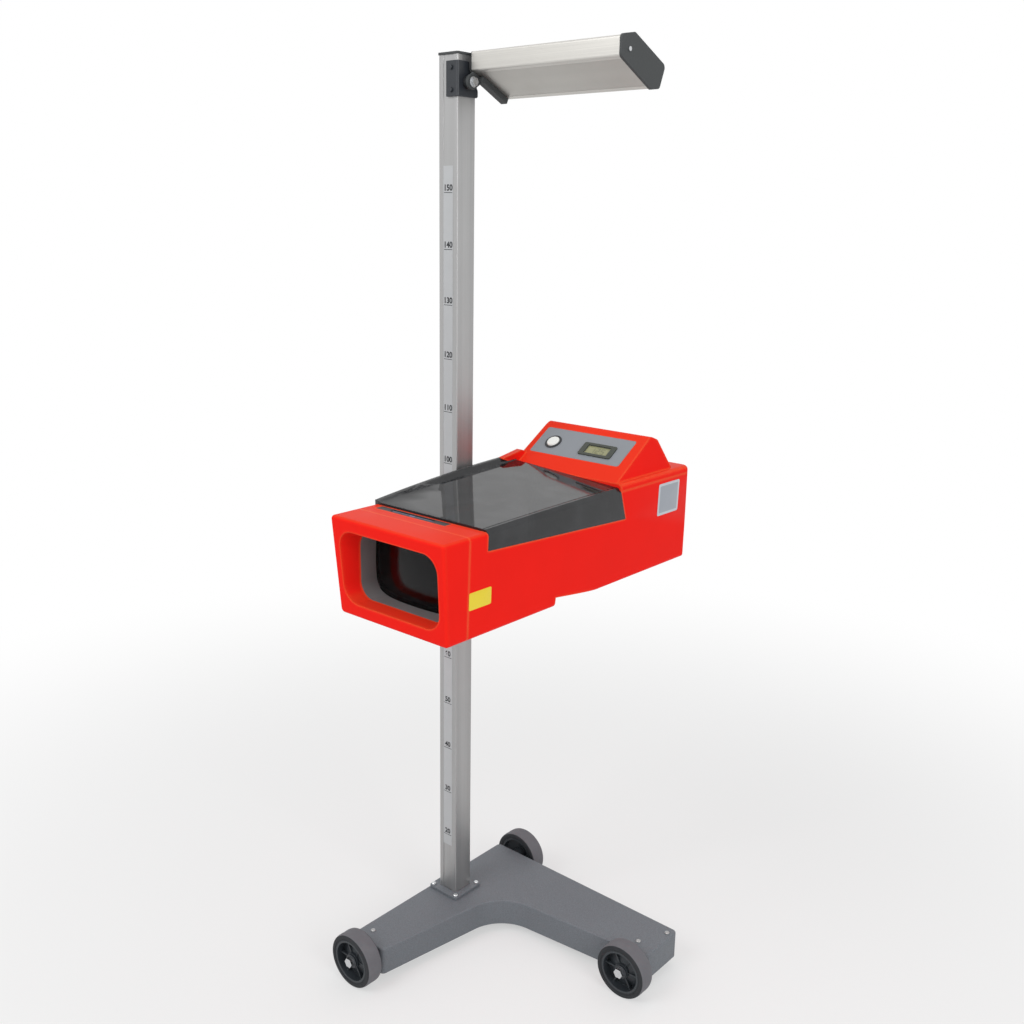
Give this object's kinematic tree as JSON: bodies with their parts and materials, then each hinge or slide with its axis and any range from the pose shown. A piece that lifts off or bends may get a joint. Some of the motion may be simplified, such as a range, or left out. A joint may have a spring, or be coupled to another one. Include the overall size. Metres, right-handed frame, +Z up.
{
  "type": "headlight beam tester",
  "caption": "Headlight beam tester: optical box with lens, smoked viewing cover and sloped console on a column, aiming visor above, wheeled angle base.",
  "frame": {"origin": "floor level, at the middle of the whole object's plan box", "axes": "+Z up along the column, -Y the way the lens faces, +X from the column towards the right wheel"},
  "size_m": [0.522, 0.7205, 1.7572],
  "materials": {
    "red_shell": "glossy moulded red",
    "base_paint": "grey textured coat on steel",
    "column_metal": "satin drawn",
    "scale_strip": "pale strip with black marks",
    "bright_steel": "zinc plated",
    "dark_steel": "black coat",
    "tyre_grey": "grey elastic",
    "hub_plastic": "black moulded",
    "bearing_bronze": "sintered",
    "black_plastic": "fine textured",
    "visor_metal": "brushed profile",
    "visor_cap": "dark textured",
    "mirror_strip": "silvered",
    "glide_nylon": "natural nylon",
    "smoked_sheet": "smoked clear",
    "lens_glass": "polished",
    "frame_grey": "grey moulded",
    "panel_grey": "grey film",
    "display_dark": "dark frame",
    "display_pane": "olive reflective",
    "board_green": "coated board",
    "white_plastic": "white cap",
    "level_fluid": "tinted clear",
    "screen_white": "white aiming face",
    "sensor_glass": "dark window"
  },
  "bodies": {
    "stand": {"base_shell": "base_paint", "axle_blocks": "bright_steel", "base_screws": "bright_steel", "column_foot": "base_paint", "foot_screws": "bright_steel", "column": "column_metal", "height_scale": "scale_strip", "column_cap": "visor_cap", "cap_screw": "bright_steel", "visor_bracket": "dark_steel", "bracket_screws": "dark_steel", "pivot_bolt": "bright_steel", "pivot_nut": "bright_steel", "friction_washer": "hub_plastic", "axle_bolts": "bright_steel", "axle_washers": "bright_steel", "axle_spacers": "bright_steel"},
    "carriage": {"carriage_sleeve": "dark_steel", "glide_liners": "glide_nylon", "carriage_screws": "bright_steel", "brake_shoe": "glide_nylon", "lower_housing": "red_shell", "front_bezel": "red_shell", "lens_frame": "frame_grey", "lens": "lens_glass", "smoked_cover": "smoked_sheet", "chamber_liner": "black_plastic", "rear_hood": "red_shell", "control_panel": "panel_grey", "display_bezel": "display_dark", "display_module": "display_pane", "circuit_board": "board_green", "button_collar": "hub_plastic", "level_holder": "black_plastic", "level_vial": "level_fluid", "screen_frame": "black_plastic", "dip_bush": "bearing_bronze", "battery_pack": "black_plastic"},
    "visor": {"visor_profile": "visor_metal", "visor_mirror": "mirror_strip", "visor_cap_left": "visor_cap", "visor_cap_right": "visor_cap", "visor_cap_screws": "bright_steel"},
    "wheel_front_left": {"wheel_front_left_tyre": "tyre_grey", "wheel_front_left_hub": "hub_plastic", "wheel_front_left_bush": "bearing_bronze"},
    "wheel_rear_left": {"wheel_rear_left_tyre": "tyre_grey", "wheel_rear_left_hub": "hub_plastic", "wheel_rear_left_bush": "bearing_bronze"},
    "wheel_right": {"wheel_right_tyre": "tyre_grey", "wheel_right_hub": "hub_plastic", "wheel_right_bush": "bearing_bronze"},
    "clamp": {"clamp_knob": "black_plastic", "clamp_stud": "bright_steel"},
    "button": {"push_button": "white_plastic"},
    "dip_drive": {"dip_knob": "black_plastic", "dip_shaft": "bright_steel"},
    "screen": {"aiming_screen": "screen_white", "light_cell": "sensor_glass", "screen_rack": "bearing_bronze"}
  },
  "joints": [
    {"name": "front_left_roll", "type": "hinge", "parent": "stand", "child": "wheel_front_left", "pos_m": [-0.206, -0.2875, 0.055], "axis": [0, 1, 0], "continuous": true},
    {"name": "rear_left_roll", "type": "hinge", "parent": "stand", "child": "wheel_rear_left", "pos_m": [-0.206, 0.2115, 0.055], "axis": [0, 1, 0], "continuous": true},
    {"name": "right_roll", "type": "hinge", "parent": "stand", "child": "wheel_right", "pos_m": [0.206, 0.0415, 0.055], "axis": [0, 1, 0], "continuous": true},
    {"name": "height_slide", "type": "slide", "parent": "stand", "child": "carriage", "axis": [0, 0, 1], "range_m": [-0.62, 0.53]},
    {"name": "visor_tilt", "type": "hinge", "parent": "stand", "child": "visor", "pos_m": [-0.17, -0.0105, 1.7], "axis": [1, 0, 0], "range_deg": [-25, 40]},
    {"name": "clamp_turn", "type": "hinge", "parent": "carriage", "child": "clamp", "pos_m": [-0.206, 0.0325, 0.89], "axis": [0, 1, 0], "range_deg": [0, 270]},
    {"name": "button_press", "type": "slide", "parent": "carriage", "child": "button", "axis": [0, 0.5426, -0.84], "range_m": [0, 0.002], "stiffness_N_per_m": 900},
    {"name": "dip_turn", "type": "hinge", "parent": "carriage", "child": "dip_drive", "pos_m": [-0.029, 0.3445, 0.895], "axis": [0, 1, 0], "range_deg": [-57, 57]},
    {"name": "screen_shift", "type": "slide", "parent": "carriage", "child": "screen", "axis": [0, 0, 1], "range_m": [-0.0099, 0.0099]}
  ],
  "couplings": [
    {"joint": "dip_turn", "follows": "screen_shift", "rad_per_m": -100}
  ]
}
